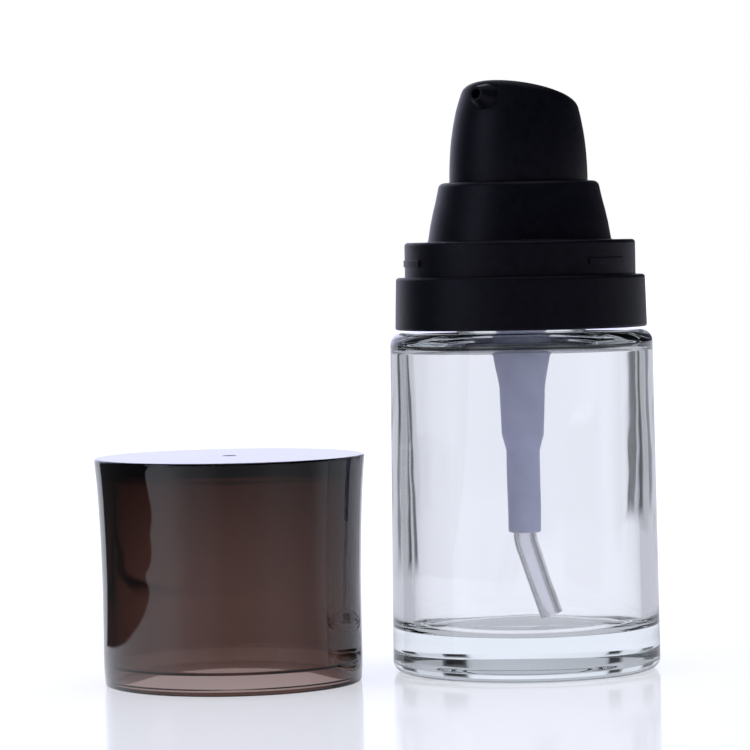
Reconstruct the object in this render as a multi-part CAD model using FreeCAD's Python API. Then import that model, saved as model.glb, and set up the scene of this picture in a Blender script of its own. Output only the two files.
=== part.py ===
"""Foundation pump bottle with its smoke overcap standing beside it.

Units are millimetres. The origin is the centre of the ring the bottle stands on, +Z is up the
bottle, the overcap stands on the -X side and -Y is the front. One STEP file is written per piece.
"""
import FreeCAD, Part
import math
import os

V = FreeCAD.Vector
UP = V(0, 0, 1)

# ---------------------------------------------------------------- glass bottle
GLASS_R_HEEL = 18.9           # outer radius just above the heel
GLASS_R_TOP = 18.5            # outer radius just below the shoulder
GLASS_R_IN = 16.3             # inner wall radius
GLASS_FLOOR = 6.0             # thick base, lowest ring of the inner floor
GLASS_DOME = 0.5              # the inner floor rises this much toward the axis
GLASS_PUSH_UP = 1.5           # hollow under the base
GLASS_CEILING = 46.1          # underside of the shoulder
GLASS_SHOULDER = 47.9         # top of the shoulder
NECK_R = 8.7                  # neck wall below the thread crest
NECK_BORE_R = 7.0
NECK_TOP = 57.1

# ---------------------------------------------------------------- 20-400 neck thread
THREAD_PITCH = 3.175
THREAD_TURNS = 1.25
NECK_CREST_R = 9.7
CLOSURE_ROOT_R = 10.05
CLOSURE_CREST_R = 9.0
THREAD_ROOT_W = 2.0
THREAD_CREST_W = 0.9
NECK_THREAD_Z = 51.6          # middle of the neck ridge at its lower end
THREAD_GAP = 0.10             # axial gap under the neck ridge

# ---------------------------------------------------------------- collar and closure
LOWER_RING_R = 17.77
LOWER_RING_TOP = 55.65
COLLAR_BOTTOM = 48.3
UPPER_RING_R = 16.27
UPPER_RING_TOP = 60.58
CONE_TOP = 68.9
CONE_HOLE_R = 9.95
CLOSURE_R = 11.4
CLOSURE_BOTTOM = 48.6
CLOSURE_TOP = 60.0
CLOSURE_PLATE = 1.1
CLOSURE_HOLE_R = 6.4
LUG_AZIMUTHS = (46.0, 166.0, -74.0)   # from the front, positive toward +X
LUG_ARC = 25.0
LUG_Z = 57.65
LUG_HEIGHT = 1.0
LUG_PROUD = 0.2
RIB_COUNT = 8
RIB_ROOT_R = 12.3
RIB_DEPTH = 2.9
RIB_WIDTH = 0.8
RIB_BOTTOM = 50.0
RIB_HEIGHT = 9.6

# ---------------------------------------------------------------- pump
FLANGE_R = 9.3
FLANGE_Z = 57.9               # underside of the housing flange, top of the gasket
FLANGE_T = 1.0
PUMP_BORE_R = 3.6
MOUTH_R = 4.3                 # counterbore that takes the housing cap
SPRING_BORE_R = 2.3
SPRING_LEDGE = 34.4
TAIL_END = 19.4
TUBE_R = 1.625
TUBE_BORE_R = 0.95
STEM_R = 2.0
SOCKET_R = 2.03               # socket of the actuator, turns on the stem
STEM_BORE_R = 1.1
STEM_NECK_R = 1.6             # the part of the stem the piston slides on
GUIDE_GAP = 0.05              # radial running gap of the stem in its guide
ROD_FLANGE_TOP = 53.5
SPRING_TOP = 52.5
SPRING_R = 2.0
SPRING_WIRE = 0.45
SPRING_TURNS = 12
BALL_R = 1.2
SEAT_HOLE_R = 0.7
SEAT_Z = 31.2

# ---------------------------------------------------------------- dip tube
TUBE_TOP = 30.4
BEND_START = 19.4
BEND_RADIUS = 6.0
BEND_ANGLE = 18.5
TUBE_STRAIGHT = 10.4          # straight length below the bend

# ---------------------------------------------------------------- actuator
ACTUATOR_BOTTOM = 66.0
ACTUATOR_WALL = 1.1
TOP_CENTRE_Z = 81.3           # slanted top where it crosses the axis
TOP_SLANT = 16.0              # rises toward the spout
TOP_PLATE = 1.5
TOP_RIM_FILLET = 1.3
TOP_DISH_R = 57.0             # shallow finger dish in the slanted top
TOP_DISH_DEPTH = 0.3
SPOUT_AZIMUTH = -36.0         # from the front, negative toward -X
SPOUT_RISE = 12.0
SPOUT_BASE = 8.0              # radial place of the root of the cone
SPOUT_BASE_Z = 80.62
SPOUT_ROOT_R = 1.95
SPOUT_TIP_R = 1.03
SPOUT_LENGTH = 2.35
SPOUT_BORE_R = 0.72
SPOUT_PIPE_R = 1.7            # tube inside the shell that joins the post to the spout
POST_R = 3.3
POST_BOTTOM = 68.1
SOCKET_TOP = 72.9

# ---------------------------------------------------------------- overcap
CAP_AT = V(-41.2, -9.0, 0.0)
CAP_HEIGHT = 31.5
CAP_CEILING = 29.7
CAP_R_IN = 16.4
CAP_SEAT_R = 16.7             # wider seat that goes over the upper ring
CAP_SEAT_DEPTH = 2.8
GATE_BOSS_R = 1.9
GATE_DIMPLE_R = 1.0
GATE_DEPTH = 0.3


# ---------------------------------------------------------------- helpers
def at(r, z):
    """Point of the half section, r from the axis and z up."""
    return V(r, 0, z)


def outline(corners):
    """Edges through (r, z) corners, closed; a third number rounds that corner."""
    ends = []
    arcs = []
    count = len(corners)
    for i, corner in enumerate(corners):
        here = at(corner[0], corner[1])
        if len(corner) < 3 or corner[2] <= 0:
            ends.append((here, here))
            arcs.append(None)
            continue
        back = at(*corners[i - 1][:2]) - here
        ahead = at(*corners[(i + 1) % count][:2]) - here
        back.normalize()
        ahead.normalize()
        half = back.getAngle(ahead) / 2
        reach = corner[2] / math.tan(half)
        middle = back + ahead
        middle.normalize()
        centre = here + middle * (corner[2] / math.sin(half))
        start = here + back * reach
        end = here + ahead * reach
        ends.append((start, end))
        arcs.append(Part.Arc(start, centre - middle * corner[2], end).toShape())
    edges = []
    for i in range(count):
        if arcs[i]:
            edges.append(arcs[i])
        leave = ends[i][1]
        arrive = ends[(i + 1) % count][0]
        if leave.distanceToPoint(arrive) > 1e-7:
            edges.append(Part.makeLine(leave, arrive))
    return edges


def turned(corners, angle=360.0):
    """Solid of revolution about Z."""
    face = Part.Face(Part.Wire(Part.__sortEdges__(outline(corners))))
    return face.revolve(V(0, 0, 0), UP, angle)


def turned_with_curve(curve_points, corners):
    """Solid of revolution whose outer side is one smooth curve, closed by straight corners."""
    curve = Part.BSplineCurve()
    curve.interpolate([at(*point) for point in curve_points])
    path = [at(*curve_points[-1])] + [at(*corner) for corner in corners] + [at(*curve_points[0])]
    edges = [curve.toShape()]
    for start, end in zip(path, path[1:]):
        edges.append(Part.makeLine(start, end))
    face = Part.Face(Part.Wire(edges))
    return face.revolve(V(0, 0, 0), UP, 360)


def cylinder(radius, bottom, top):
    return Part.makeCylinder(radius, top - bottom, V(0, 0, bottom), UP)


def facing(azimuth):
    """Level unit vector at an azimuth from the front (-Y), positive toward +X."""
    a = math.radians(azimuth)
    return V(math.sin(a), -math.cos(a), 0)


def spin(shape, degrees):
    turned_copy = shape.copy()
    turned_copy.rotate(V(0, 0, 0), UP, degrees)
    return turned_copy


def thread_ridge(root_r, crest_r, middle_z, turns, start_angle):
    """Right-hand ridge on a wall at root_r, with ramped ends, standing out to crest_r."""
    out = 1 if crest_r > root_r else -1
    bite = 0.3
    rise = turns * THREAD_PITCH
    helix = Part.makeHelix(THREAD_PITCH, rise, root_r)
    section = Part.makePolygon([
        at(root_r - out * bite, -THREAD_ROOT_W / 2),
        at(root_r, -THREAD_ROOT_W / 2),
        at(crest_r, -THREAD_CREST_W / 2),
        at(crest_r, THREAD_CREST_W / 2),
        at(root_r, THREAD_ROOT_W / 2),
        at(root_r - out * bite, THREAD_ROOT_W / 2),
        at(root_r - out * bite, -THREAD_ROOT_W / 2),
    ])
    ridge = Part.Wire(helix).makePipeShell([section], True, True)
    if ridge.Volume < 0:
        ridge.reverse()
    ramp = 2.2
    tip = crest_r + out * 0.4
    reach = ramp * (tip - root_r) / (crest_r - root_r)
    for end_angle, end_z, side in ((0.0, 0.0, 1), (turns * 360.0, rise, -1)):
        wedge_face = Part.Face(Part.makePolygon([
            V(root_r, -0.6 * side, -1.4),
            V(tip, -0.6 * side, -1.4),
            V(tip, reach * side, -1.4),
            V(root_r, 0, -1.4),
            V(root_r, -0.6 * side, -1.4),
        ]))
        wedge = wedge_face.extrude(V(0, 0, 2.8))
        wedge = spin(wedge, end_angle)
        wedge.translate(V(0, 0, end_z))
        ridge = ridge.cut(wedge)
    ridge = spin(ridge, start_angle)
    ridge.translate(V(0, 0, middle_z))
    return ridge


# ---------------------------------------------------------------- pieces
def glass_bottle():
    body = turned([
        (0, GLASS_PUSH_UP),
        (10.0, GLASS_PUSH_UP - 0.2, 6.0),
        (15.0, 0.0, 0.4),
        (GLASS_R_HEEL, 0.0, 1.6),
        (GLASS_R_TOP, GLASS_SHOULDER, 1.7),
        (NECK_R, GLASS_SHOULDER, 0.5),
        (NECK_R, NECK_TOP, 0.6),
        (NECK_BORE_R, NECK_TOP, 0.5),
        (NECK_BORE_R, GLASS_CEILING, 1.3),
        (GLASS_R_IN, GLASS_CEILING, 1.2),
        (GLASS_R_IN, GLASS_FLOOR, 1.8),
        (12.4, GLASS_FLOOR, 1.5),
        (8.5, GLASS_FLOOR + GLASS_DOME, 6.0),
        (0, GLASS_FLOOR + GLASS_DOME + 0.1),
    ])
    ridge = thread_ridge(NECK_R, NECK_CREST_R, NECK_THREAD_Z, THREAD_TURNS, -60.0)
    return body.fuse(ridge)


def outer_collar():
    """Stepped rings, cone and gripping sleeve with ribs and three snap lugs for the overcap."""
    collar = turned([
        (LOWER_RING_R, COLLAR_BOTTOM, 0.3),
        (LOWER_RING_R - 0.2, LOWER_RING_TOP, 0.45),
        (UPPER_RING_R, LOWER_RING_TOP, 0.15),
        (UPPER_RING_R, UPPER_RING_TOP, 0.5),
        (12.95, UPPER_RING_TOP, 0.25),
        (12.54, 63.0),
        (12.17, 64.7),
        (11.74, 66.4),
        (11.2, CONE_TOP, 0.9),
        (CONE_HOLE_R, CONE_TOP, 0.2),
        (CONE_HOLE_R, 67.5),
        (10.55, 66.3),
        (11.25, 62.6),
        (10.9, CLOSURE_TOP),
        (CLOSURE_R, CLOSURE_TOP),
        (CLOSURE_R, 49.4),
        (12.5, 49.4, 0.2),
        (12.5, 59.3, 0.3),
        (15.0, 59.3, 0.4),
        (15.0, 54.4, 0.2),
        (16.4, 54.4, 0.4),
        (16.55, COLLAR_BOTTOM, 0.2),
    ])
    for number in range(RIB_COUNT):
        rib = Part.makeBox(RIB_DEPTH, RIB_WIDTH, RIB_HEIGHT, V(RIB_ROOT_R, -RIB_WIDTH / 2, RIB_BOTTOM))
        collar = collar.fuse(spin(rib, 360.0 / RIB_COUNT * (number + 0.5)))
    low = LUG_Z - LUG_HEIGHT / 2
    high = LUG_Z + LUG_HEIGHT / 2
    lug = turned([
        (UPPER_RING_R - 0.4, low),
        (UPPER_RING_R + LUG_PROUD, low, 0.1),
        (UPPER_RING_R + LUG_PROUD, high, 0.16),
        (UPPER_RING_R - 0.4, high),
    ], LUG_ARC)
    for azimuth in LUG_AZIMUTHS:
        collar = collar.fuse(spin(lug, azimuth - 90.0 - LUG_ARC / 2))
    return collar


def screw_closure():
    ring = turned([
        (CLOSURE_R, CLOSURE_BOTTOM, 0.3),
        (CLOSURE_R, CLOSURE_TOP),
        (CLOSURE_HOLE_R, CLOSURE_TOP),
        (CLOSURE_HOLE_R, CLOSURE_TOP - CLOSURE_PLATE),
        (CLOSURE_ROOT_R, CLOSURE_TOP - CLOSURE_PLATE),
        (CLOSURE_ROOT_R, CLOSURE_BOTTOM, 0.3),
    ])
    middle_r = (CLOSURE_ROOT_R + CLOSURE_CREST_R + NECK_R + NECK_CREST_R) / 4
    slope = (THREAD_ROOT_W - THREAD_CREST_W) / (NECK_CREST_R - NECK_R)
    neck_w = THREAD_ROOT_W - slope * (middle_r - NECK_R)
    slope_in = (THREAD_ROOT_W - THREAD_CREST_W) / (CLOSURE_ROOT_R - CLOSURE_CREST_R)
    ring_w = THREAD_ROOT_W - slope_in * (CLOSURE_ROOT_R - middle_r)
    under = (neck_w + ring_w) / 2 + THREAD_GAP
    ridge = thread_ridge(
        CLOSURE_ROOT_R, CLOSURE_CREST_R, NECK_THREAD_Z - under, THREAD_TURNS, -60.0)
    return ring.fuse(ridge)


def gasket():
    return turned([
        (7.2, NECK_TOP),
        (FLANGE_R, NECK_TOP),
        (FLANGE_R, FLANGE_Z),
        (7.2, FLANGE_Z),
    ])


def pump_housing():
    top = FLANGE_Z + FLANGE_T
    body = turned([
        (MOUTH_R, top),
        (FLANGE_R, top, 0.15),
        (FLANGE_R, FLANGE_Z),
        (5.2, FLANGE_Z, 0.4),
        (5.2, 55.6),
        (4.6, 54.4),
        (4.32, 46.2),
        (3.98, 43.7),
        (3.23, 39.9, 2.0),
        (2.97, 33.2, 0.35),
        (2.36, 31.0, 0.2),
        (2.3, TAIL_END, 0.3),
        (TUBE_R, TAIL_END, 0.2),
        (TUBE_R, TUBE_TOP),
        (SEAT_HOLE_R, TUBE_TOP),
        (SEAT_HOLE_R, SEAT_Z),
        (1.5, SEAT_Z + 1.5 - SEAT_HOLE_R),
        (1.5, 33.8),
        (1.12, 34.1),
        (1.12, SPRING_LEDGE),
        (SPRING_BORE_R, SPRING_LEDGE),
        (SPRING_BORE_R, 38.6),
        (2.5, 40.2),
        (3.2, 43.9),
        (PUMP_BORE_R, 46.4),
        (PUMP_BORE_R, 57.0),
        (MOUTH_R, 57.0),
    ])
    vent = Part.makeCylinder(0.35, 3.0, V(0, 3.0, 56.6), V(0, 1, 0))
    return body.cut(vent)


def housing_cap():
    return turned([
        (STEM_R + GUIDE_GAP, 57.0, 0.1),
        (STEM_R + GUIDE_GAP, 63.5, 0.1),
        (3.2, 63.5, 0.4),
        (3.2, 59.9, 0.3),
        (6.2, 59.9, 0.2),
        (6.2, FLANGE_Z + FLANGE_T),
        (MOUTH_R, FLANGE_Z + FLANGE_T),
        (MOUTH_R, 57.0, 0.15),
    ])


def stem():
    """Hollow stem with a stop bead under the guide and two ports at its foot."""
    tube = turned([
        (STEM_BORE_R, ROD_FLANGE_TOP),
        (STEM_NECK_R, ROD_FLANGE_TOP),
        (STEM_NECK_R, 56.5),
        (2.7, 56.5),
        (2.7, 56.95, 0.15),
        (STEM_R, 56.95),
        (STEM_R, SOCKET_TOP, 0.25),
        (STEM_BORE_R, SOCKET_TOP),
    ])
    port = Part.makeBox(5.0, 0.8, 1.0, V(-2.5, -0.4, ROD_FLANGE_TOP))
    return tube.cut(port)


def piston_rod():
    """Sealing flange with a boss inside the spring and a fluted spigot inside the stem."""
    body = turned([
        (0, 51.2),
        (1.4, 51.2, 0.3),
        (1.4, SPRING_TOP),
        (3.1, SPRING_TOP, 0.2),
        (3.1, ROD_FLANGE_TOP),
        (STEM_BORE_R, ROD_FLANGE_TOP),
        (STEM_BORE_R, 58.0, 0.3),
        (0, 58.0),
    ])
    for side in (-1, 1):
        flute = Part.makeBox(1.0, 1.0, 5.0, V(side * 1.0 - 0.5, -0.5, ROD_FLANGE_TOP))
        body = body.cut(flute)
    return body


def piston():
    return turned([
        (STEM_NECK_R + GUIDE_GAP, 53.52),
        (2.6, 53.52, 0.2),
        (2.6, 54.6, 0.2),
        (3.2, 54.6, 0.2),
        (3.2, 53.9),
        (PUMP_BORE_R - 0.02, 53.9, 0.1),
        (PUMP_BORE_R - 0.02, 54.4),
        (3.4, 54.6),
        (3.4, 55.7),
        (PUMP_BORE_R - 0.02, 55.9),
        (PUMP_BORE_R - 0.02, 56.3, 0.1),
        (3.1, 56.3),
        (3.1, 55.6, 0.2),
        (2.6, 55.6, 0.2),
        (2.6, 55.85),
        (STEM_NECK_R + GUIDE_GAP, 55.85),
    ])


def return_spring():
    """Open coil spring, wound a little long and then ground flat at both ends."""
    coil_r = SPRING_R - SPRING_WIRE / 2
    length = SPRING_TOP - SPRING_LEDGE
    pitch = length / SPRING_TURNS
    spare = pitch / 4
    helix = Part.makeHelix(pitch, length + 2 * spare, coil_r)
    wire = Part.Wire(Part.makeCircle(SPRING_WIRE / 2, V(coil_r, 0, 0), V(0, 1, 0)))
    spring = Part.Wire(helix).makePipeShell([wire], True, True)
    spring.translate(V(0, 0, SPRING_LEDGE - spare))
    return spring.common(cylinder(SPRING_R + 1.0, SPRING_LEDGE, SPRING_TOP))


def inlet_ball():
    apex = SEAT_Z - SEAT_HOLE_R
    centre = apex + BALL_R * math.sqrt(2) + 0.015
    return Part.makeSphere(BALL_R, V(0, 0, centre))


def dip_tube():
    """Straight in the tail of the housing, then bent toward the heel of the bottle."""
    angle = math.radians(BEND_ANGLE)
    half = angle / 2
    top = V(0, 0, TUBE_TOP)
    start = V(0, 0, BEND_START)
    mid = V(BEND_RADIUS * (1 - math.cos(half)), 0, BEND_START - BEND_RADIUS * math.sin(half))
    end = V(BEND_RADIUS * (1 - math.cos(angle)), 0, BEND_START - BEND_RADIUS * math.sin(angle))
    heading = V(math.sin(angle), 0, -math.cos(angle))
    foot = end + heading * TUBE_STRAIGHT
    path = Part.Wire([
        Part.makeLine(top, start),
        Part.Arc(start, mid, end).toShape(),
        Part.makeLine(end, foot),
    ])
    solids = []
    for radius in (TUBE_R, TUBE_BORE_R):
        ring = Part.Wire(Part.makeCircle(radius, top, UP))
        solids.append(path.makePipeShell([ring], True, False))
    return solids[0].cut(solids[1])


def below_slant(z_on_axis):
    """Big block that fills everything under the slanted top plane."""
    block = Part.makeBox(60, 60, 60, V(-30, -30, -60))
    tip_axis = UP.cross(facing(SPOUT_AZIMUTH))
    block.rotate(V(0, 0, 0), tip_axis, -TOP_SLANT)
    block.translate(V(0, 0, z_on_axis))
    return block


def actuator():
    side = [
        (9.72, ACTUATOR_BOTTOM), (9.75, 68.0), (9.75, 69.8), (9.65, 72.3), (9.41, 74.9), (9.0, 77.4),
        (8.63, 79.1), (8.11, 80.8), (7.51, 82.5), (6.7, 84.6),
    ]
    outer = turned_with_curve(side, [(0, 84.6), (0, ACTUATOR_BOTTOM)])
    outer = outer.common(below_slant(TOP_CENTRE_Z))
    rim = [edge for edge in outer.Edges if edge.BoundBox.ZMin > 77.0]
    outer = outer.makeFillet(TOP_RIM_FILLET, rim)

    heading = facing(SPOUT_AZIMUTH)
    slant = math.radians(TOP_SLANT)
    normal = UP * math.cos(slant) - heading * math.sin(slant)
    middle = V(0, 0, TOP_CENTRE_Z) - heading * 0.5
    dish = Part.makeSphere(TOP_DISH_R, middle + normal * (TOP_DISH_R - TOP_DISH_DEPTH))

    inner_side = [(r - ACTUATOR_WALL, z) for r, z in side]
    void = turned_with_curve(inner_side, [(0, 84.6), (0, ACTUATOR_BOTTOM)])
    void = void.common(below_slant(TOP_CENTRE_Z - TOP_PLATE))
    shell = outer.cut(void)

    post = cylinder(POST_R, POST_BOTTOM, 83.5).common(outer)
    rise = math.radians(SPOUT_RISE)
    along = heading * math.cos(rise) + UP * math.sin(rise)
    root = heading * SPOUT_BASE + V(0, 0, SPOUT_BASE_Z)
    pipe = Part.makeCylinder(SPOUT_PIPE_R, SPOUT_BASE, root - along * SPOUT_BASE, along).common(outer)
    stub = Part.makeCylinder(SPOUT_ROOT_R, 1.4, root - along * 1.4, along)
    cone = Part.makeCone(SPOUT_ROOT_R, SPOUT_TIP_R, SPOUT_LENGTH, root, along)
    body = shell.fuse([post, pipe, stub, cone])

    body = body.cut(dish)
    body = body.cut(cylinder(SOCKET_R, POST_BOTTOM, SOCKET_TOP))
    start = root - along * (SPOUT_BASE / math.cos(rise))
    body = body.cut(cylinder(STEM_BORE_R, SOCKET_TOP, start.z + 0.6))
    channel = Part.makeCylinder(SPOUT_BORE_R, SPOUT_BASE + SPOUT_LENGTH + 2.0, start, along)
    return body.cut(channel).removeSplitter()


def overcap():
    """Flared thick-topped shell with a seat and a fine snap bead inside its mouth."""
    side = [
        (17.82, 0.0), (17.98, 3.0), (17.96, 8.0), (17.96, 14.2), (18.03, 17.3), (18.11, 20.4), (18.21, 22.9),
        (18.35, 25.9), (18.53, 28.5), (18.81, CAP_HEIGHT),
    ]
    seat_top = CAP_SEAT_DEPTH
    body = turned_with_curve(side, [
        (0, CAP_HEIGHT),
        (0, CAP_CEILING),
        (CAP_R_IN - 1.2, CAP_CEILING),
        (CAP_R_IN - 0.4, CAP_CEILING - 0.35),
        (CAP_R_IN, CAP_CEILING - 1.2),
        (CAP_R_IN, seat_top + 0.3),
        (CAP_SEAT_R, seat_top),
        (CAP_SEAT_R, 1.0),
        (CAP_SEAT_R - 0.2, 0.8),
        (CAP_SEAT_R - 0.2, 0.5),
        (CAP_SEAT_R + 0.1, 0.0),
    ])
    rims = []
    for edge in body.Edges:
        box = edge.BoundBox
        if box.ZLength < 0.01 and box.XLength > 2 * 17.5:
            rims.append(edge)
    body = body.makeFillet(0.3, rims)
    body = body.fuse(cylinder(GATE_BOSS_R, CAP_CEILING - GATE_DEPTH, CAP_CEILING + 0.5))
    body = body.cut(cylinder(GATE_DIMPLE_R, CAP_HEIGHT - GATE_DEPTH, CAP_HEIGHT + 1.0))
    body.translate(CAP_AT)
    return body


PIECES = {
    "glass_bottle": glass_bottle,
    "outer_collar": outer_collar,
    "screw_closure": screw_closure,
    "gasket": gasket,
    "pump_housing": pump_housing,
    "housing_cap": housing_cap,
    "stem": stem,
    "piston_rod": piston_rod,
    "piston": piston,
    "return_spring": return_spring,
    "inlet_ball": inlet_ball,
    "dip_tube": dip_tube,
    "actuator": actuator,
    "overcap": overcap,
}

os.makedirs("parts", exist_ok=True)
for name, make in PIECES.items():
    shape = make()
    solids = shape.Solids
    if len(solids) != 1 or not shape.isValid() or solids[0].Volume <= 0:
        raise ValueError(f"{name}: {len(solids)} solids, valid {shape.isValid()}")
    solids[0].exportStep(f"parts/{name}.step")
    box = solids[0].BoundBox
    print(f"{name}: {solids[0].Volume:.2f} mm3, x {box.XMin:.2f}..{box.XMax:.2f}, "
          f"y {box.YMin:.2f}..{box.YMax:.2f}, z {box.ZMin:.2f}..{box.ZMax:.2f}")
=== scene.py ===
"""Looks of the foundation pump bottle: polished glass, black pump, natural plastics and smoke overcap."""
import bpy
import bmesh
import math
from mathutils import Matrix, Vector, noise

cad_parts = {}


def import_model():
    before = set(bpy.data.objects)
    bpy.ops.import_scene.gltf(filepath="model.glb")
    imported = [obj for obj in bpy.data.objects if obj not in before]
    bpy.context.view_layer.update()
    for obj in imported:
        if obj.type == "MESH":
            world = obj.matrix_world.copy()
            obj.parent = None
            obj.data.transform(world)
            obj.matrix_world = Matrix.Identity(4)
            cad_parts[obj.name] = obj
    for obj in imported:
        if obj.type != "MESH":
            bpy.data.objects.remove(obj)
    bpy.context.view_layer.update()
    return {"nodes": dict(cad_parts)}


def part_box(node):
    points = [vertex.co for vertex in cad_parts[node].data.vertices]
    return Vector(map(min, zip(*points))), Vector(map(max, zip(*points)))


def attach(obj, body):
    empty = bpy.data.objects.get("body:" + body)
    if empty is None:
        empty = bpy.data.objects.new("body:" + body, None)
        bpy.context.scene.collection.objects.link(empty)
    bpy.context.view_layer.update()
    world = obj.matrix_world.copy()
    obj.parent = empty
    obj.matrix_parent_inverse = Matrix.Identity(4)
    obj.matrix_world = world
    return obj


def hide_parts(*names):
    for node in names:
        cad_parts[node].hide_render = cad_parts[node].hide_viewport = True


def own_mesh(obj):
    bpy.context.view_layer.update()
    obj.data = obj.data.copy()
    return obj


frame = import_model()
NODES = frame["nodes"]
MM = 0.001


# ---------------------------------------------------------------- mesh helpers
def rounded(corners, step=0.6, arc_step=6.0):
    """Dense (r, z) points in mm through corners; a corner's third number is its fillet radius."""
    count = len(corners)
    stops = []
    for i, corner in enumerate(corners):
        here = Vector(corner[:2])
        inner = 0 < i < count - 1
        if len(corner) < 3 or not inner:
            stops.append([here])
            continue
        back = (Vector(corners[i - 1][:2]) - here).normalized()
        ahead = (Vector(corners[i + 1][:2]) - here).normalized()
        half = back.angle(ahead) / 2
        reach = corner[2] / math.tan(half)
        centre = here + (back + ahead).normalized() * (corner[2] / math.sin(half))
        first = here + back * reach - centre
        turn = first.angle_signed(here + ahead * reach - centre)
        pieces = max(3, math.ceil(abs(math.degrees(turn)) / arc_step))
        arc = []
        for k in range(pieces + 1):
            a = -turn * k / pieces
            arc.append(centre + Matrix.Rotation(a, 2) @ first)
        stops.append(arc)
    points = []
    for i, stop in enumerate(stops):
        if points:
            start, end = points[-1], stop[0]
            length = (end - start).length
            if length > 1e-6:
                guard = min(0.08, length / 3)
                inner_count = max(1, round((length - 2 * guard) / step))
                shares = [guard / length + (1 - 2 * guard / length) * k / inner_count
                          for k in range(inner_count + 1)]
                points += [start.lerp(end, s) for s in shares]
        points += stop if not points or (stop[0] - points[-1]).length > 1e-6 else stop[1:]
    return [tuple(p) for p in points]


def smooth_curve(points, count):
    """Catmull-Rom points through a few (r, z) points."""
    pts = [Vector(p) for p in points]
    pts = [2 * pts[0] - pts[1]] + pts + [2 * pts[-1] - pts[-2]]
    out = []
    for i in range(1, len(pts) - 2):
        a, b, c, d = pts[i - 1:i + 3]
        for k in range(count):
            t = k / count
            out.append(tuple(0.5 * ((2 * b) + (c - a) * t + (2 * a - 5 * b + 4 * c - d) * t * t
                                    + (3 * b - a - 3 * c + d) * t ** 3)))
    out.append(tuple(pts[-2]))
    return out


def new_object(name, vertices, faces, material):
    """Smooth-shaded mesh object from points in metres."""
    mesh = bpy.data.meshes.new(name)
    mesh.from_pydata([tuple(v) for v in vertices], [], faces)
    mesh.validate()
    mesh.polygons.foreach_set("use_smooth", [True] * len(mesh.polygons))
    mesh.materials.append(material)
    obj = bpy.data.objects.new(name, mesh)
    bpy.context.scene.collection.objects.link(obj)
    return obj


def lathe(name, profile, material, segments=256, centre=(0, 0), shape=None):
    """Closed solid of revolution from (r, z) points in mm; points with r = 0 close on the axis.

    shape(angle, r, z) may return a changed (r, z) for a point away from the axis.
    """
    vertices = []
    rows = []
    angles = [2 * math.pi * k / segments for k in range(segments)]
    for r, z in profile:
        if r < 1e-6:
            rows.append([len(vertices)])
            vertices.append((centre[0] * MM, centre[1] * MM, z * MM))
            continue
        row = []
        for a in angles:
            rr, zz = shape(a, r, z) if shape else (r, z)
            row.append(len(vertices))
            vertices.append(((centre[0] + rr * math.cos(a)) * MM,
                             (centre[1] + rr * math.sin(a)) * MM, zz * MM))
        rows.append(row)
    loops = list(zip(rows, rows[1:]))
    if len(rows[0]) > 1:
        loops.append((rows[-1], rows[0]))
    faces = []
    for low, high in loops:
        for k in range(segments):
            n = (k + 1) % segments
            if len(low) == 1 and len(high) == 1:
                continue
            if len(low) == 1:
                faces.append((low[0], high[n], high[k]))
            elif len(high) == 1:
                faces.append((low[k], low[n], high[0]))
            else:
                faces.append((low[k], low[n], high[n], high[k]))
    obj = new_object(name, vertices, faces, material)
    outward(obj)
    return obj


def outward(obj):
    """Turns every face of a closed mesh to look outward."""
    bm = bmesh.new()
    bm.from_mesh(obj.data)
    bmesh.ops.recalc_face_normals(bm, faces=bm.faces)
    bm.to_mesh(obj.data)
    bm.free()


def smoothstep(low, high, value):
    """Soft step from 0 at low to 1 at high."""
    t = min(1.0, max(0.0, (value - low) / (high - low)))
    return t * t * (3 - 2 * t)


# ---------------------------------------------------------------- materials
def material(name):
    """New material, its node tree and its shader."""
    mat = bpy.data.materials.new(name)
    mat.use_nodes = True
    tree = mat.node_tree
    return mat, tree, tree.nodes["Principled BSDF"]


def node(tree, kind, **values):
    """Adds a node; keys that name an input set its value, other keys set a property."""
    made = tree.nodes.new(kind)
    for key, value in values.items():
        label = key.replace("_", " ")
        if label in made.inputs:
            made.inputs[label].default_value = value
        else:
            setattr(made, key, value)
    return made


def grain(tree, scale, **values):
    """Noise over the object's own coordinates, scale in features per metre."""
    place = node(tree, "ShaderNodeTexCoord")
    texture = node(tree, "ShaderNodeTexNoise", Scale=scale, **values)
    tree.links.new(place.outputs["Object"], texture.inputs["Vector"])
    return texture


def bumped(tree, shader, height, distance, strength):
    """Raises the shader's surface by a height field, distance in metres."""
    bump = node(tree, "ShaderNodeBump", Strength=strength, Distance=distance)
    tree.links.new(height, bump.inputs["Height"])
    tree.links.new(bump.outputs["Normal"], shader.inputs["Normal"])


def ramp(tree, source, stops):
    """Colour ramp over source; stops are (place, rgb)."""
    made = node(tree, "ShaderNodeValToRGB")
    elements = made.color_ramp.elements
    elements[0].position, elements[0].color = stops[0][0], (*stops[0][1], 1)
    elements[1].position, elements[1].color = stops[-1][0], (*stops[-1][1], 1)
    for place, colour in stops[1:-1]:
        elements.new(place).color = (*colour, 1)
    tree.links.new(source, made.inputs["Fac"])
    return made


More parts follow.
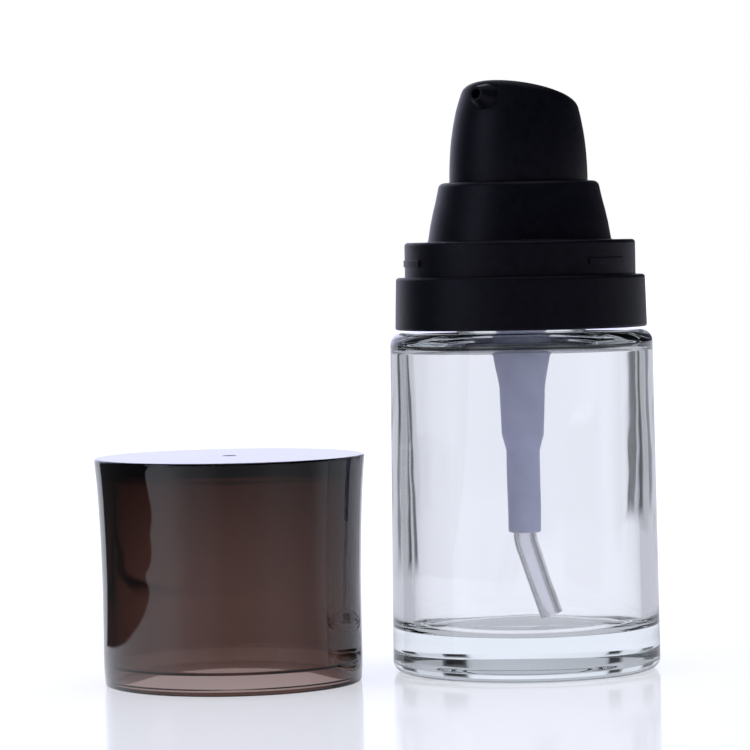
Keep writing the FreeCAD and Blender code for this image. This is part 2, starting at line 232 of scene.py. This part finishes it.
def black_plastic():
    """Spark-eroded matte black: fine sparkling grain and slightly uneven gloss."""
    mat, tree, shader = material("black_matte_plastic")
    coarse = grain(tree, 900.0, Detail=3.0)
    shades = [(0.3, (0.0018, 0.0018, 0.005)), (0.7, (0.0038, 0.0038, 0.009))]
    colour = ramp(tree, coarse.outputs["Fac"], shades)
    tree.links.new(colour.outputs["Color"], shader.inputs["Base Color"])
    fine = grain(tree, 5200.0, Detail=4.0, Roughness=0.65)
    rough = node(tree, "ShaderNodeMapRange", To_Min=0.27, To_Max=0.45)
    tree.links.new(fine.outputs["Fac"], rough.inputs["Value"])
    tree.links.new(rough.outputs["Result"], shader.inputs["Roughness"])
    bumped(tree, shader, fine.outputs["Fac"], 0.00006, 0.55)
    shader.inputs["Specular IOR Level"].default_value = 0.2
    return mat


def clear_glass():
    """Polished flint glass, faintly green in depth, with a slight ripple."""
    mat, tree, shader = material("clear_flint_glass")
    shader.inputs["Base Color"].default_value = (1, 1, 1, 1)
    shader.inputs["Roughness"].default_value = 0.0
    shader.inputs["IOR"].default_value = 1.52
    shader.inputs["Transmission Weight"].default_value = 1.0
    ripple = grain(tree, 220.0, Detail=1.0)
    bumped(tree, shader, ripple.outputs["Fac"], 0.00002, 0.1)
    volume = node(tree, "ShaderNodeVolumeAbsorption", Density=4.5)
    volume.inputs["Color"].default_value = (0.45, 0.72, 0.74, 1)
    tree.links.new(volume.outputs["Volume"], tree.nodes["Material Output"].inputs["Volume"])
    return mat


def smoke_plastic():
    """Clear brown-grey plastic coloured in depth, with a glossy, lightly rubbed skin."""
    mat, tree, shader = material("smoke_clear_plastic")
    shader.inputs["Base Color"].default_value = (1, 1, 1, 1)
    shader.inputs["IOR"].default_value = 1.49
    shader.inputs["Transmission Weight"].default_value = 1.0
    shader.inputs["Coat Weight"].default_value = 0.35
    shader.inputs["Coat Roughness"].default_value = 0.02
    rub = grain(tree, 260.0, Detail=5.0)
    rough = node(tree, "ShaderNodeMapRange", To_Min=0.0, To_Max=0.05)
    tree.links.new(rub.outputs["Fac"], rough.inputs["Value"])
    tree.links.new(rough.outputs["Result"], shader.inputs["Roughness"])
    bumped(tree, shader, rub.outputs["Fac"], 0.00002, 0.15)
    volume = node(tree, "ShaderNodeVolumeAbsorption", Density=1370.0)
    volume.inputs["Color"].default_value = (0.40, 0.225, 0.15, 1)
    tree.links.new(volume.outputs["Volume"], tree.nodes["Material Output"].inputs["Volume"])
    return mat


def natural_plastic(name, low, high, roughness, transmission):
    """Milky moulded plastic with faint cloudiness and a satin skin."""
    mat, tree, shader = material(name)
    cloud = grain(tree, 300.0, Detail=4.0)
    colour = ramp(tree, cloud.outputs["Fac"], [(0.3, low), (0.7, high)])
    tree.links.new(colour.outputs["Color"], shader.inputs["Base Color"])
    skin = grain(tree, 2600.0, Detail=3.0)
    rough = node(tree, "ShaderNodeMapRange", To_Min=roughness - 0.08, To_Max=roughness + 0.08)
    tree.links.new(skin.outputs["Fac"], rough.inputs["Value"])
    tree.links.new(rough.outputs["Result"], shader.inputs["Roughness"])
    bumped(tree, shader, skin.outputs["Fac"], 0.00003, 0.3)
    shader.inputs["IOR"].default_value = 1.5
    shader.inputs["Transmission Weight"].default_value = transmission
    shader.inputs["Subsurface Weight"].default_value = 0.35
    shader.inputs["Subsurface Radius"].default_value = (0.001, 0.001, 0.0012)
    shader.inputs["Subsurface Scale"].default_value = 1.0
    return mat


def foam():
    """White closed-cell foam."""
    mat, tree, shader = material("white_foam")
    cells = node(tree, "ShaderNodeTexVoronoi", Scale=3500.0)
    place = node(tree, "ShaderNodeTexCoord")
    tree.links.new(place.outputs["Object"], cells.inputs["Vector"])
    # painted shade: the foam is darker in its cells' pits, where the bump sinks
    colour = ramp(tree, cells.outputs["Distance"], [(0.0, (0.62, 0.62, 0.6)), (0.6, (0.85, 0.85, 0.83))])
    tree.links.new(colour.outputs["Color"], shader.inputs["Base Color"])
    shader.inputs["Roughness"].default_value = 0.85
    bumped(tree, shader, cells.outputs["Distance"], 0.0001, 0.6)
    return mat


def steel(name, roughness, scale):
    """Drawn or ground stainless steel, streaked at a scale in features per metre."""
    mat, tree, shader = material(name)
    shader.inputs["Metallic"].default_value = 1.0
    streak = grain(tree, scale, Detail=3.0)
    colour = ramp(tree, streak.outputs["Fac"], [(0.3, (0.5, 0.5, 0.5)), (0.7, (0.68, 0.68, 0.67))])
    tree.links.new(colour.outputs["Color"], shader.inputs["Base Color"])
    rough = node(tree, "ShaderNodeMapRange", To_Min=roughness * 0.7, To_Max=roughness * 1.3)
    tree.links.new(streak.outputs["Fac"], rough.inputs["Value"])
    tree.links.new(rough.outputs["Result"], shader.inputs["Roughness"])
    return mat


BLACK = black_plastic()
GLASS = clear_glass()
SMOKE = smoke_plastic()
NATURAL_PP = natural_plastic("natural_pp", (0.55, 0.57, 0.77), (0.63, 0.65, 0.85), 0.42, 0.0)
NATURAL_PE = natural_plastic("natural_pe", (0.93, 0.93, 0.97), (0.97, 0.97, 0.99), 0.16, 0.93)
FOAM = foam()
WIRE = steel("spring_wire", 0.28, 1800.0)
BALL = steel("steel_ball", 0.08, 900.0)

FINISHES = {
    "outer_collar": BLACK,
    "actuator": BLACK,
    "screw_closure": NATURAL_PP,
    "pump_housing": NATURAL_PP,
    "housing_cap": NATURAL_PP,
    "stem": NATURAL_PP,
    "piston_rod": NATURAL_PP,
    "piston": NATURAL_PE,
    "dip_tube": NATURAL_PE,
    "gasket": FOAM,
    "inlet_ball": BALL,
}
for name, finish in FINISHES.items():
    slots = NODES[name].data.materials
    slots.clear()
    slots.append(finish)


# ---------------------------------------------------------------- glass bottle
GLASS_R_HEEL, GLASS_R_TOP, GLASS_R_IN = 18.9, 18.5, 16.3
SHOULDER, CEILING, FLOOR = 47.9, 46.1, 6.0
PUSH_UP, DOME = 1.5, 0.5
NECK_R, NECK_BORE_R, NECK_CREST_R = 8.7, 7.0, 9.7
NECK_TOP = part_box("glass_bottle")[1].z / MM
THREAD_PITCH, THREAD_TURNS = 3.175, 1.25
THREAD_LOW, THREAD_START = 51.6, math.radians(-60.0)
THREAD_ROOT_W, THREAD_CREST_W = 2.0, 0.9


def thread_height(angle, z):
    """How far the neck ridge stands out at a place on the neck wall."""
    best = 0.0
    for lap in (-1, 0, 1, 2):
        run = (angle - THREAD_START) / (2 * math.pi) + lap
        if not 0 <= run <= THREAD_TURNS:
            continue
        off = abs(z - THREAD_LOW - run * THREAD_PITCH)
        flank = 1 - smoothstep(THREAD_CREST_W / 2, THREAD_ROOT_W / 2, off)
        ends = smoothstep(0, 0.05, run) * smoothstep(0, 0.05, THREAD_TURNS - run)
        best = max(best, flank * ends)
    return best * (NECK_CREST_R - NECK_R)


WAVE_BIG, WAVE_SMALL = 0.05, 0.006
WALL_FROM_R = 15


def glass_shape(angle, r, z):
    """Neck thread outside, and the faint waviness of pressed and blown glass inside."""
    if abs(r - NECK_R) < 1e-3 and THREAD_LOW - 2 < z < NECK_TOP - 0.7:
        return r + thread_height(angle, z), z
    inside = r < GLASS_R_IN + 0.01 and FLOOR - 0.1 < z < CEILING + 0.1
    if inside:
        at = Vector((math.cos(angle) * r / 7, math.sin(angle) * r / 7, z / 11))
        wave = WAVE_BIG * noise.noise(at) + WAVE_SMALL * noise.noise(at * 3.1)
        if r > WALL_FROM_R:
            return r + wave, z
        return r, z + 0.6 * wave
    return r, z


def glass_bottle():
    """Bottle with its base, push-up, shoulder, neck and cavity as one closed turn."""
    profile = rounded([
        (0, PUSH_UP),
        (10.0, PUSH_UP - 0.2, 6.0),
        (15.0, 0.0, 0.4),
        (GLASS_R_HEEL, 0.0, 1.6),
        (GLASS_R_TOP, SHOULDER, 1.7),
        (NECK_R, SHOULDER, 0.5),
        (NECK_R, NECK_TOP, 0.6),
        (NECK_BORE_R, NECK_TOP, 0.5),
        (NECK_BORE_R, CEILING, 1.3),
        (GLASS_R_IN, CEILING, 1.2),
        (GLASS_R_IN, FLOOR, 1.8),
        (12.4, FLOOR, 1.5),
        (8.5, FLOOR + DOME, 6.0),
        (0, FLOOR + DOME + 0.1),
    ], step=0.35)
    obj = lathe("bottle_glass", profile, GLASS, segments=320, shape=glass_shape)
    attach(obj, "bottle")
    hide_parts("glass_bottle")


glass_bottle()


# ---------------------------------------------------------------- smoke overcap
CAP_LOW, CAP_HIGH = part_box("overcap")
CAP_AT = ((CAP_LOW.x + CAP_HIGH.x) / 2 / MM, (CAP_LOW.y + CAP_HIGH.y) / 2 / MM)
CAP_HEIGHT = CAP_HIGH.z / MM
CAP_CEILING = CAP_HEIGHT - 1.8
CAP_R_MOUTH, CAP_R_TOP = 17.82, 18.81
CAP_R_IN, CAP_SEAT_R, CAP_SEAT_DEPTH = 16.4, 16.7, 2.8
CAP_BEAD = 0.2
GATE_DIMPLE_R, GATE_BOSS_R, GATE_DEPTH = 0.95, 1.925, 0.3


def overcap():
    """Flared shell with a snap bead in its mouth, a gate dimple on top and its boss inside."""
    side = smooth_curve([
        (CAP_R_MOUTH, 0.0), (17.98, 3.0), (17.96, 8.0), (17.96, 14.2), (18.03, 17.3), (18.11, 20.4),
        (18.21, 22.9), (18.35, 25.9), (18.53, 28.5), (CAP_R_TOP, CAP_HEIGHT),
    ], 8)
    wall = [p for p in side if 0.5 < p[1] < CAP_HEIGHT - 0.6]
    bottom = rounded([
        (CAP_SEAT_R - CAP_BEAD, 0.5),
        (CAP_SEAT_R + 0.1, 0.0, 0.15),
        (CAP_R_MOUTH, 0.0, 0.3),
        wall[0],
    ])
    top = rounded([
        wall[-1],
        (18.8, CAP_HEIGHT, 0.3),
        (GATE_DIMPLE_R + 0.05, CAP_HEIGHT, 0.1),
        (GATE_DIMPLE_R - 0.05, CAP_HEIGHT - GATE_DEPTH, 0.1),
        (0, CAP_HEIGHT - GATE_DEPTH),
    ])
    inside = rounded([
        (0, CAP_CEILING - GATE_DEPTH),
        (GATE_BOSS_R - 0.025, CAP_CEILING - GATE_DEPTH, 0.1),
        (GATE_BOSS_R + 0.025, CAP_CEILING, 0.08),
        (CAP_R_IN, CAP_CEILING, 1.2),
        (CAP_R_IN, CAP_SEAT_DEPTH + 0.3, 0.15),
        (CAP_SEAT_R, CAP_SEAT_DEPTH, 0.08),
        (CAP_SEAT_R, 1.0, 0.1),
        (CAP_SEAT_R - CAP_BEAD, 0.75, 0.1),
        (CAP_SEAT_R - CAP_BEAD, 0.5),
    ])
    profile = inside + bottom[1:] + wall[1:] + top[1:]
    obj = lathe("smoke_cap", profile, SMOKE, segments=320, centre=CAP_AT)
    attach(obj, "overcap")
    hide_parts("overcap")


overcap()


# ---------------------------------------------------------------- return spring
SPRING_LOW, SPRING_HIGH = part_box("return_spring")
SPRING_WIRE = 0.45
SPRING_TURNS = 12
STEPS_A_TURN, WIRE_SIDES = 48, 14


def return_spring():
    """Coil with closed end turns, carried with the pump body."""
    radius = (SPRING_HIGH.x - SPRING_LOW.x) / 2 / MM - SPRING_WIRE / 2
    low = SPRING_LOW.z / MM + SPRING_WIRE / 2
    high = SPRING_HIGH.z / MM - SPRING_WIRE / 2
    steps, ring = STEPS_A_TURN, WIRE_SIDES
    vertices = []
    total = steps * SPRING_TURNS
    for k in range(total + 1):
        turn = k / steps
        share = turn / SPRING_TURNS
        closed = 0.06 * math.sin(2 * math.pi * share)
        z = low + (high - low) * (share - closed)
        a = 2 * math.pi * turn
        out = Vector((math.cos(a), math.sin(a), 0))
        for m in range(ring):
            b = 2 * math.pi * m / ring
            spot = out * (radius + SPRING_WIRE / 2 * math.cos(b))
            spot.z = z + SPRING_WIRE / 2 * math.sin(b)
            vertices.append(spot * MM)
    faces = []
    for k in range(total):
        for m in range(ring):
            n = (m + 1) % ring
            faces.append((k * ring + m, k * ring + n, (k + 1) * ring + n, (k + 1) * ring + m))
    faces.append(tuple(range(ring))[::-1])
    faces.append(tuple(total * ring + m for m in range(ring)))
    obj = new_object("coil_spring", vertices, faces, WIRE)
    outward(obj)
    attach(obj, "pump")
    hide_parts("return_spring")
    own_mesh(obj)


return_spring()


# ---------------------------------------------------------------- floor, light and camera
def maths(tree, operation, a, b=None):
    """Math node on sockets or numbers."""
    made = node(tree, "ShaderNodeMath", operation=operation)
    for number, value in enumerate((a, b)):
        if value is None:
            continue
        if isinstance(value, (int, float)):
            made.inputs[number].default_value = value
        else:
            tree.links.new(value, made.inputs[number])
    return made.outputs[0]


def compass(tree, vector, stops):
    """Brightness by azimuth in degrees from +Y, positive toward +X; stops are (azimuth, value)."""
    split = node(tree, "ShaderNodeSeparateXYZ")
    tree.links.new(vector, split.inputs["Vector"])
    azimuth = maths(tree, "ARCTAN2", split.outputs["X"], split.outputs["Y"])
    turn = maths(tree, "ADD", maths(tree, "DIVIDE", azimuth, 2 * math.pi), 0.5)
    made = ramp(tree, turn, [((a + 180) / 360, (v, v, v)) for a, v in stops])
    made.color_ramp.interpolation = "EASE"
    return made.outputs["Color"]


# What clear material shows from each side, and what glossy skins mirror from each side. On the floor sheet
# THROUGH is painted shade: dark flags that only clear material sees.
THROUGH = [
    (-180, 0.3), (-125, 0.35), (-100, 0.95), (-90, 0.55), (-80, 1.0), (-64, 0.95),
    (-59, 0.1), (-49, 0.1), (-44, 0.9), (-32, 0.85), (-30, 0.03), (-25, 0.03), (-23.5, 0.9),
    (10, 1.0), (19, 0.95), (21.5, 0.02), (29, 0.02), (31, 0.75), (45, 0.75), (49, 0.02), (60, 0.02),
    (66, 0.95), (80, 1.0), (90, 0.55), (100, 0.95), (125, 0.35), (180, 0.3),
]
MIRRORED = [
    (-180, 0.03), (-110, 0.03), (-80, 0.05), (-60, 0.1), (-46, 0.4), (-36, 0.9), (-20, 1.25),
    (4, 1.15), (14, 0.12), (45, 0.04), (180, 0.03),
]
# Painted reflection: how bright the sheet's painted lit patches are in the overcap's skin, by side as seen
# from the overcap's axis.
CAP_PAINTED_SHEEN = [
    (-180, 0.3), (-155, 0.55), (-125, 1.15), (-90, 1.15), (0, 1.0), (90, 0.8),
    (110, 0.4), (140, 0.5), (160, 0.35), (180, 0.3),
]
CLEAR_TINT = (0.87, 0.895, 1.0)
CLEAR_STRENGTH, CLEAR_MIRRORED = 1.05, 0.6


def clear_light(tree, path, bands):
    """What clear material passes on, weaker once the light has also been mirrored."""
    mirrored = node(tree, "ShaderNodeMapRange", To_Min=CLEAR_STRENGTH, To_Max=CLEAR_MIRRORED)
    tree.links.new(path.outputs["Glossy Depth"], mirrored.inputs["Value"])
    return maths(tree, "MULTIPLY", bands, mirrored.outputs["Result"])


def emission(tree, colour, strength):
    """Glow of one colour; strength is a number or a socket."""
    made = node(tree, "ShaderNodeEmission")
    made.inputs["Color"].default_value = (*colour, 1)
    if isinstance(strength, (int, float)):
        made.inputs["Strength"].default_value = strength
    else:
        tree.links.new(strength, made.inputs["Strength"])
    return made.outputs[0]


def mixed(tree, factor, first, second):
    """Second shader where factor is 1, first where it is 0."""
    made = node(tree, "ShaderNodeMixShader")
    tree.links.new(factor, made.inputs[0])
    tree.links.new(first, made.inputs[1])
    tree.links.new(second, made.inputs[2])
    return made.outputs[0]


FLOOR_GLOW = 0.42
FLOOR_HALF, FLOOR_DROP = 6, 0.00002
PAINTED_LIT_EDGES = [
    # direction across the edge of a painted lit patch, seen only by glossy skins, then where it starts and
    # is full, in metres
    ((0.688, -0.726, 0), -0.089, -0.083),
    ((0.788, 0.616, 0), -0.05, -0.043),
]


def floor():
    """Wide white sheet, bright enough to melt into the backdrop for the eye.

    Clear material sees painted dark flags on it (painted shade) and glossy skins see painted lit patches
    (painted reflections) instead, standing in for a studio table's flags and lamps.
    """
    mat, tree, shader = material("white_sheet_with_painted_light")
    shader.inputs["Base Color"].default_value = (0.86, 0.87, 0.9, 1)
    shader.inputs["Emission Color"].default_value = (0.97, 0.98, 1.0, 1)
    shader.inputs["Emission Strength"].default_value = FLOOR_GLOW
    shader.inputs["Roughness"].default_value = 0.1
    shader.inputs["IOR"].default_value = 1.1
    path = node(tree, "ShaderNodeLightPath")
    place = node(tree, "ShaderNodeTexCoord")
    reach = node(tree, "ShaderNodeVectorMath", operation="LENGTH")
    tree.links.new(place.outputs["Object"], reach.inputs[0])

    def by_distance(low, high, first, last):
        """Goes from first to last between two distances from the bottle's axis, in metres."""
        made = node(tree, "ShaderNodeMapRange", From_Min=low, From_Max=high, To_Min=first, To_Max=last)
        tree.links.new(reach.outputs["Value"], made.inputs["Value"])
        return made.outputs["Result"]

    # the painted flags (painted shade) stop short of the bottle, further off on its right side
    split = node(tree, "ShaderNodeSeparateXYZ")
    tree.links.new(place.outputs["Object"], split.inputs["Vector"])
    left = node(tree, "ShaderNodeMapRange", From_Min=-0.006, From_Max=0.004, To_Min=1.0, To_Max=0.0)
    tree.links.new(split.outputs["X"], left.inputs["Value"])
    right = maths(tree, "SUBTRACT", 1.0, left.outputs["Result"])
    plain_left = maths(tree, "MULTIPLY", by_distance(0.13, 0.19, 1.0, 0.0), left.outputs["Result"])
    plain_right = maths(tree, "MULTIPLY", by_distance(0.22, 0.30, 1.0, 0.0), right)
    plain = maths(tree, "ADD", plain_left, plain_right)
    # painted shade: dark flags on the sheet by side, seen only through clear material
    bands = maths(tree, "MAXIMUM", compass(tree, place.outputs["Object"], THROUGH), plain)
    through = clear_light(tree, path, bands)
    # painted reflection: lit patches painted on the sheet, which only glossy skins see
    lit = None
    for across, low, high in PAINTED_LIT_EDGES:
        edge = node(tree, "ShaderNodeVectorMath", operation="DOT_PRODUCT")
        edge.inputs[1].default_value = across
        tree.links.new(place.outputs["Object"], edge.inputs[0])
        side = node(tree, "ShaderNodeMapRange", From_Min=low, From_Max=high, To_Min=0.05, To_Max=0.85)
        side.interpolation_type = "SMOOTHSTEP"
        tree.links.new(edge.outputs["Value"], side.inputs["Value"])
        lit = side.outputs["Result"] if lit is None else maths(tree, "MAXIMUM", lit, side.outputs["Result"])
    around_cap = node(tree, "ShaderNodeVectorMath", operation="SUBTRACT")
    around_cap.inputs[1].default_value = (CAP_AT[0] * MM, CAP_AT[1] * MM, 0)
    tree.links.new(place.outputs["Object"], around_cap.inputs[0])
    lit = maths(tree, "MULTIPLY", lit, compass(tree, around_cap.outputs[0], CAP_PAINTED_SHEEN))
    # painted shade: through clear material the sheet glows white with painted dark flags
    painted_flags_seen_clear = emission(tree, CLEAR_TINT, through)
    # painted reflection: the painted lit patches glow for glossy skins only
    painted_patches_seen_gloss = emission(tree, (0.88, 0.9, 1.0), lit)
    result = mixed(tree, path.outputs["Is Glossy Ray"], shader.outputs[0], painted_patches_seen_gloss)
    result = mixed(tree, path.outputs["Is Transmission Ray"], result, painted_flags_seen_clear)
    tree.links.new(result, tree.nodes["Material Output"].inputs["Surface"])
    corners = [(x * FLOOR_HALF, y * FLOOR_HALF, 0) for x, y in ((-1, -1), (1, -1), (1, 1), (-1, 1))]
    obj = new_object("white_floor", corners, [(0, 1, 2, 3)], mat)
    obj.location.z = -FLOOR_DROP


def world():
    """White for the eye, banded through clear material, dim in front and bright behind for gloss."""
    made = bpy.data.worlds.new("studio")
    bpy.context.scene.world = made
    made.use_nodes = True
    tree = made.node_tree
    tree.nodes.clear()
    out = node(tree, "ShaderNodeOutputWorld")
    path = node(tree, "ShaderNodeLightPath")
    place = node(tree, "ShaderNodeTexCoord")
    direction = place.outputs["Generated"]
    split = node(tree, "ShaderNodeSeparateXYZ")
    tree.links.new(direction, split.inputs["Vector"])
    above = node(tree, "ShaderNodeMapRange", From_Min=0.12, From_Max=0.3, To_Min=0.0, To_Max=0.9)
    tree.links.new(split.outputs["Z"], above.inputs["Value"])
    bands = maths(tree, "MAXIMUM", compass(tree, direction, THROUGH), above.outputs["Result"])
    through = clear_light(tree, path, bands)
    height = node(tree, "ShaderNodeMapRange", From_Min=0.35, From_Max=0.8, To_Min=1.15, To_Max=0.25)
    tree.links.new(split.outputs["Z"], height.inputs["Value"])
    gloss = maths(tree, "MULTIPLY", compass(tree, direction, MIRRORED), height.outputs["Result"])

    def background(colour, strength):
        """Sky of one colour; strength is a number or a socket."""
        made_node = node(tree, "ShaderNodeBackground")
        made_node.inputs["Color"].default_value = (*colour, 1)
        if isinstance(strength, (int, float)):
            made_node.inputs["Strength"].default_value = strength
        else:
            tree.links.new(strength, made_node.inputs["Strength"])
        return made_node.outputs[0]

    ambient = background((0.85, 0.87, 1.0), 0.45)
    shine = background((0.75, 0.77, 1.0), gloss)
    clear = background(CLEAR_TINT, through)
    seen = background((1, 1, 1), 1.0)
    result = mixed(tree, path.outputs["Is Glossy Ray"], ambient, shine)
    result = mixed(tree, path.outputs["Is Transmission Ray"], result, clear)
    result = mixed(tree, path.outputs["Is Camera Ray"], result, seen)
    tree.links.new(result, out.inputs["Surface"])


def area_light(name, place, aim, size, power, colour):
    """Soft rectangular light at place, turned to aim."""
    data = bpy.data.lights.new(name, "AREA")
    data.shape = "RECTANGLE"
    data.size, data.size_y = size
    data.energy = power
    data.color = colour
    obj = bpy.data.objects.new(name, data)
    obj.location = place
    obj.rotation_euler = (Vector(aim) - Vector(place)).to_track_quat("-Z", "Y").to_euler()
    bpy.context.scene.collection.objects.link(obj)


FOCUS = Vector((-0.0208, 0, 0.045))


def lights():
    """A dim strip from the left and a broad softbox overhead."""
    area_light("left_softbox", (-0.75, -0.35, 0.35), FOCUS, (0.35, 0.6), 0.9, (0.72, 0.72, 1.0))
    area_light("top_softbox", (0.0, 0.05, 0.9), FOCUS, (0.9, 0.9), 1.6, (0.85, 0.86, 1.0))


CAMERA_AT = (-0.02075, -0.520, 0.060)
CAMERA_LENS, CAMERA_PITCH, CAMERA_ROLL = 176.7, 1.98, 1.08


def camera():
    """Long lens a little above the collar's height, level but for a slight pitch and roll."""
    data = bpy.data.cameras.new("view")
    data.lens = CAMERA_LENS
    data.sensor_width = 36.0
    data.clip_start, data.clip_end = 0.01, 50
    obj = bpy.data.objects.new("view", data)
    pitch, roll = math.radians(CAMERA_PITCH), math.radians(CAMERA_ROLL)
    forward = Vector((0, math.cos(pitch), -math.sin(pitch)))
    level_right = Vector((1, 0, 0))
    level_up = Vector((0, math.sin(pitch), math.cos(pitch)))
    right = level_right * math.cos(roll) - level_up * math.sin(roll)
    up = level_up * math.cos(roll) + level_right * math.sin(roll)
    turn = Matrix((right, up, -forward)).transposed().to_4x4()
    obj.matrix_world = Matrix.Translation(CAMERA_AT) @ turn
    bpy.context.scene.collection.objects.link(obj)
    bpy.context.scene.camera = obj


floor()
world()
lights()
camera()
scene = bpy.context.scene
scene.view_settings.view_transform = "Standard"
scene.cycles.max_bounces = 24
scene.cycles.transmission_bounces = 20
scene.cycles.glossy_bounces = 8
